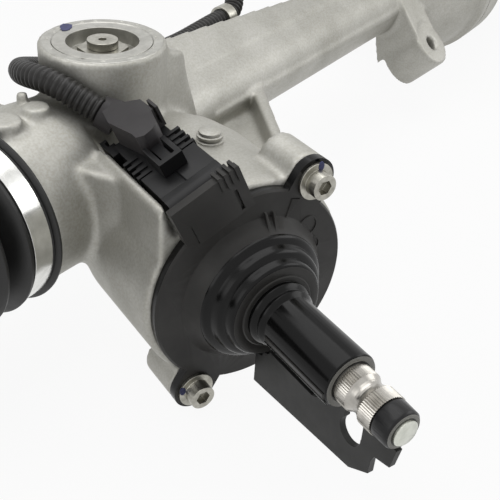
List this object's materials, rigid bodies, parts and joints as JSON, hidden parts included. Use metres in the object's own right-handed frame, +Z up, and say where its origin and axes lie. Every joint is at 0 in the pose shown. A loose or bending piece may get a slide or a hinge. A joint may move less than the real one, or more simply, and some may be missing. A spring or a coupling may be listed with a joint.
{
  "type": "steering rack",
  "caption": "Belt-assisted electric steering rack: cast housing, pinion and torque sensor input, preloaded rack, boots, tie rods, motor and wiring conduit.",
  "frame": {"origin": "where the rack axis meets the axis of the yoke tower", "axes": "+X along the rack from the input side toward the belt drive, +Z up the yoke tower; the input shaft leaves toward -Y, leaning toward -X"},
  "size_m": [1.2955, 0.3478, 0.155],
  "materials": {
    "cast_aluminium": "as-cast, fine grain",
    "machined_aluminium": "turned",
    "steel": "ground and oiled",
    "plated_steel": "zinc plated",
    "rod_black": "black phosphate",
    "stainless": "bright stainless band",
    "end_disc": "bright turned steel",
    "boot_rubber": "black moulded rubber",
    "seal_rubber": "black rubber",
    "cover_plastic": "black moulded plastic",
    "shell_grey": "dark grey moulded plastic",
    "conduit_plastic": "corrugated black tube",
    "sleeve": "smooth black sleeve",
    "liner_plastic": "natural bearing plastic",
    "sensor_parts": "sensor board and coils",
    "unit_housing": "die-cast lid"
  },
  "bodies": {
    "housing": {"bearing_retainer": "steel", "belt_cover": "cast_aluminium", "boot_clamps": "stainless", "case_bolts": "plated_steel", "conduit_clip": "plated_steel", "connector_base": "cover_plastic", "control_unit": "unit_housing", "drive_belt": "boot_rubber", "harness_conduit": "conduit_plastic", "harness_plug": "cover_plastic", "input_bearing": "steel", "left_boot": "boot_rubber", "motor_body": "machined_aluminium", "nut_bearing": "steel", "pinion_bearing_nut": "steel", "pinion_end_cap": "plated_steel", "pinion_lower_bearing": "steel", "pinion_upper_bearing": "steel", "plug_backshell": "shell_grey", "rack_bushing": "liner_plastic", "rack_housing": "cast_aluminium", "right_boot": "boot_rubber", "sensor_cover": "cover_plastic", "sensor_cover_bolts": "plated_steel", "sensor_cover_seal": "seal_rubber", "sensor_socket": "cover_plastic", "shaft_seal": "seal_rubber", "stop_bumpers": "seal_rubber", "torque_sensor": "sensor_parts", "unit_plug": "cover_plastic", "yoke": "machined_aluminium", "yoke_adjuster": "plated_steel", "yoke_liner": "liner_plastic", "yoke_locknut": "plated_steel", "yoke_plug": "machined_aluminium", "yoke_seal_ring": "seal_rubber", "yoke_spring": "steel"},
    "rack": {"rack_bar": "steel", "left_joint_socket": "steel", "right_joint_socket": "steel"},
    "pinion": {"pinion_shaft": "steel", "pinion_end_nut": "steel"},
    "input": {"input_shaft": "steel", "torsion_bar": "steel", "sensor_rotor": "sensor_parts", "shaft_sleeve": "sleeve", "key_plate": "cover_plastic", "nose_ring": "end_disc"},
    "ball_nut": {"ball_nut": "steel", "driven_pulley": "steel"},
    "motor_rotor": {"motor_shaft": "steel", "drive_pulley": "steel"},
    "left_liner": {"left_joint_liner": "liner_plastic"},
    "right_liner": {"right_joint_liner": "liner_plastic"},
    "left_rod": {"left_tie_rod": "rod_black", "left_jam_nut": "plated_steel", "left_boot_clip": "stainless"},
    "right_rod": {"right_tie_rod": "rod_black", "right_jam_nut": "plated_steel", "right_boot_clip": "stainless"}
  },
  "joints": [
    {"name": "rack_slide", "type": "slide", "parent": "housing", "child": "rack", "axis": [1, 0, 0], "range_m": [-0.072, 0.072], "deforming": ["left_boot", "right_boot"]},
    {"name": "pinion_spin", "type": "hinge", "parent": "housing", "child": "pinion", "pos_m": [0.0192, 0, -0.022], "axis": [-0.3971, -0.9178, 0], "range_deg": [-470.8, 470.8]},
    {"name": "input_twist", "type": "hinge", "parent": "pinion", "child": "input", "pos_m": [-0.02051, -0.09177, -0.022], "axis": [-0.3971, -0.9178, 0], "range_deg": [-4, 4], "stiffness_Nm_per_rad": 115},
    {"name": "nut_spin", "type": "hinge", "parent": "housing", "child": "ball_nut", "pos_m": [0.37, 0, 0], "axis": [1, 0, 0], "range_deg": [-3704.9, 3704.9]},
    {"name": "motor_spin", "type": "hinge", "parent": "housing", "child": "motor_rotor", "pos_m": [0.45, 0.092, -0.008], "axis": [1, 0, 0], "range_deg": [-10825.7, 10825.7]},
    {"name": "left_steer", "type": "hinge", "parent": "rack", "child": "left_liner", "pos_m": [-0.1655, 0, 0], "axis": [0, 0, 1], "range_deg": [-14, 14]},
    {"name": "left_bounce", "type": "hinge", "parent": "left_liner", "child": "left_rod", "pos_m": [-0.1655, 0, 0], "axis": [0, 1, 0], "range_deg": [-20, 20]},
    {"name": "right_steer", "type": "hinge", "parent": "rack", "child": "right_liner", "pos_m": [0.546, 0, 0], "axis": [0, 0, 1], "range_deg": [-14, 14]},
    {"name": "right_bounce", "type": "hinge", "parent": "right_liner", "child": "right_rod", "pos_m": [0.546, 0, 0], "axis": [0, 1, 0], "range_deg": [-20, 20]}
  ],
  "couplings": [
    {"joint": "pinion_spin", "follows": "rack_slide", "rad_per_m": -113.64},
    {"joint": "nut_spin", "follows": "rack_slide", "rad_per_m": -897.6},
    {"joint": "motor_spin", "follows": "rack_slide", "rad_per_m": -2623.7}
  ]
}
